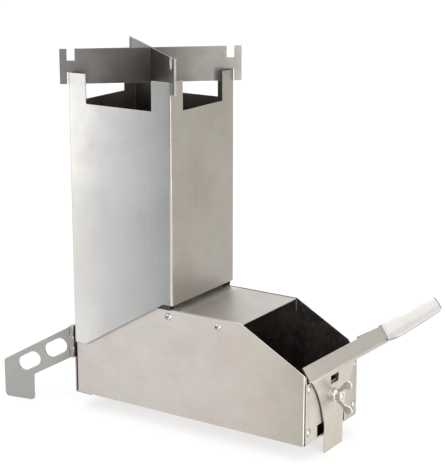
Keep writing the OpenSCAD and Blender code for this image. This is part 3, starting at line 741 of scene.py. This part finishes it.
def folded_grip(material):
    """A sleeve folded from sheet over the strip, with a pressed crease, and the tongue behind the strip."""
    plate_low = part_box("leg_handle_plate")[0]
    setback = BEND_RADIUS * math.tan(LEAN / 2)
    bend_axis = Matrix.Translation((0.0, plate_low.y + BEND_RADIUS, plate_low.z + BEND_HEIGHT - setback))
    strip = (bend_axis @ Matrix.Rotation(-LEAN, 4, "X")
             @ Matrix.Translation((0.0, -BEND_RADIUS, -setback)))
    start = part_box("handle_grip")[1].x - GRIP_LENGTH
    # The outside and the inside of the sleeve's section, Y across the strip and Z up it, in mm
    outer = [(-2.5, 4.0), (-2.28, 5.6), (-1.62, 10.6), (-1.25, 12.7), (-1.0, 13.2), (-0.5, PLAIN_TOP),
             (2.3, PLAIN_TOP), (2.8, 13.1), (3.0, 12.6), (3.0, 0.9), (2.7, 0.0), (2.0, -0.7),
             (1.2, PLAIN_LOW), (-0.5, PLAIN_LOW), (-1.4, -0.6), (-1.95, 0.0), (-2.15, 0.9), (-2.35, 3.0)]
    inner = [(-1.4, 4.0), (-1.28, 5.6), (-0.62, 10.6), (-0.1, 12.1), (-0.05, 12.3), (0.0, 12.4),
             (1.4, 12.4), (1.5, 12.35), (1.55, 12.2), (1.55, 1.0), (1.5, 0.6), (1.4, 0.4),
             (1.2, 0.3), (-0.5, 0.3), (-0.8, 0.35), (-0.95, 0.5), (-1.05, 0.9), (-1.3, 3.0)]
    stations = grip_stations()
    rings = [grip_ring(outer, -1.1, start, along) for along in stations]
    rings += [grip_ring(inner, -0.06, start, along) for along in reversed(stations)]
    mesh = bmesh.new()
    add_rings(mesh, rings, loop=True)
    # The tongue's outline, X from the sleeve's mouth and Z up the strip, in mm
    tongue = [(-42.9, 2.4), (-41.9, 1.4), (1.5, 1.4), (1.5, 12.0), (0.0, 14.3), (-41.5, 16.5),
              (-42.9, 15.6)]
    sheet = 1.0 * MM
    behind = PLATE_THICKNESS + 0.05 * MM + sheet / 2
    upright = Matrix.Translation((start, behind, 0.0)) @ Matrix.Rotation(math.radians(90.0), 4, "X")
    add_extruded(mesh, [(x * MM, y * MM) for x, y in tongue], sheet, upright)
    grip = mesh_object("folded_grip", mesh, material, 42.0)
    grip.matrix_world = strip
    round_edges(grip, 0.15 * MM, 50.0, False)
    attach(grip, "leg_plate")
    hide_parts("handle_grip")


# ---------- stage ----------

def heading(azimuth, elevation):
    """The direction from the stove towards that azimuth: 0 is -Y, and 90 is +X."""
    a, e = math.radians(azimuth), math.radians(elevation)
    return Vector((math.sin(a) * math.cos(e), -math.cos(a) * math.cos(e), math.sin(e)))


def softbox(name, place, target, size, power):
    """A rectangular area light at place, aimed at target and hidden from the camera."""
    data = bpy.data.lights.new(name, "AREA")
    data.shape = "RECTANGLE"
    data.size, data.size_y = size
    data.energy = power
    light = bpy.data.objects.new(name, data)
    light.location = place
    light.rotation_euler = (target - place).to_track_quat("-Z", "Y").to_euler()
    light.visible_camera = False
    bpy.context.scene.collection.objects.link(light)


def pale_floor(height):
    """A wide matt floor that glows a little, so that it stays white and its shadows stay faint."""
    material, tree, shader = new_material("pale_floor")
    grain = noise(tree, object_space(tree, (1.0, 1.0, 1.0)), 60.0)
    tree.links.new(mix(tree, remap(tree, grain, 0.3, 0.7), rgba((0.37, 0.37, 0.37)),
                       rgba((0.39, 0.39, 0.39))), shader.inputs["Base Color"])
    shader.inputs["Emission Color"].default_value = (1.0, 1.0, 1.0, 1.0)
    shader.inputs["Emission Strength"].default_value = 0.64
    shader.inputs["Roughness"].default_value = 0.95
    shader.inputs["Specular IOR Level"].default_value = 0.1
    mesh = bmesh.new()
    bmesh.ops.create_circle(mesh, cap_ends=True, radius=FLOOR_RADIUS, segments=96)
    data = bpy.data.meshes.new("floor")
    mesh.to_mesh(data)
    mesh.free()
    floor = bpy.data.objects.new("floor", data)
    floor.location = (0.0, 0.0, height)
    data.materials.append(material)
    bpy.context.scene.collection.objects.link(floor)


def studio_sky():
    """A white tent: bright overhead and ahead of the camera, brighter still on the left, dim behind it."""
    world = bpy.data.worlds.new("studio")
    bpy.context.scene.world = world
    world.use_nodes = True
    tree = world.node_tree
    direction = add(tree, "ShaderNodeTexCoord").outputs["Generated"]
    height = add(tree, "ShaderNodeSeparateXYZ", {"Vector": direction}).outputs["Z"]
    strength = remap(tree, height, 0.35, 0.95, 0.0, 0.84)
    # Each glow's direction, the cosines to it at which it ends and is full, and its strength
    for azimuth, elevation, fades_out, full, power in (
            (CAMERA_AZIMUTH + 180.0, 0.0, -1.0, 0.6, 0.843),
            (-123.3, 5.0, 0.3, 0.95, 0.644),
            (-40.0, 10.0, 0.5, 0.95, 0.472)):
        towards = add(tree, "ShaderNodeVectorMath", {
            0: direction, 1: heading(azimuth, elevation)}, operation="DOT_PRODUCT").outputs["Value"]
        strength = calc(tree, "ADD", strength, remap(tree, towards, fades_out, full, 0.0, power))
    background = tree.nodes["Background"]
    background.inputs["Color"].default_value = (1.0, 1.0, 1.0, 1.0)
    tree.links.new(strength, background.inputs["Strength"])


def studio_light():
    """The white tent and two lights that draw the bright streaks down the chimney."""
    studio_sky()
    low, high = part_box("chimney_wrap")
    flue = (low + high) / 2
    # A tall strip close behind the left rear corner: the chimney's side catches it along its rear edge
    behind = Vector((low.x - 0.30, high.y + 0.265, flue.z + 0.09))
    rear_edge = Vector((low.x, high.y - 0.02, flue.z + 0.06))
    softbox("rear_strip", behind, rear_edge, (0.16, 0.34), 0.225)
    # A slim box right of the camera: it draws the bright line down the front left bend
    softbox("bend_line", flue + heading(-22.0, 4.0) * 1.2, flue, (0.25, 0.7), 5.7)


def photo_camera():
    """A long lens from the front left, a little above the stove."""
    data = bpy.data.cameras.new("camera")
    data.lens = CAMERA_LENS
    data.sensor_width = 36.0
    data.clip_start = 0.05
    data.clip_end = 4 * FLOOR_RADIUS
    camera = bpy.data.objects.new("camera", data)
    low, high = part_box("chimney_wrap")
    target = Vector(((low.x + high.x) / 2, low.y, low.z)) + Vector(CAMERA_AIM)
    camera.location = target + heading(CAMERA_AZIMUTH, CAMERA_ELEVATION) * CAMERA_DISTANCE
    camera.rotation_euler = (target - camera.location).to_track_quat("-Z", "Y").to_euler()
    bpy.context.scene.collection.objects.link(camera)
    bpy.context.scene.camera = camera


photo_camera()
studio_light()
pale_floor(CAD_BOX[0][2])
steels = make_steels()
dress_cad_nodes(steels)
cast_wing_nut(steels["cast_steel"])
threaded_bolt(steels["bright_fasteners"])
screw_recess_shades(steels["recess"])
folded_grip(steels["grip_steel"])
bpy.context.scene.view_settings.view_transform = "Standard"
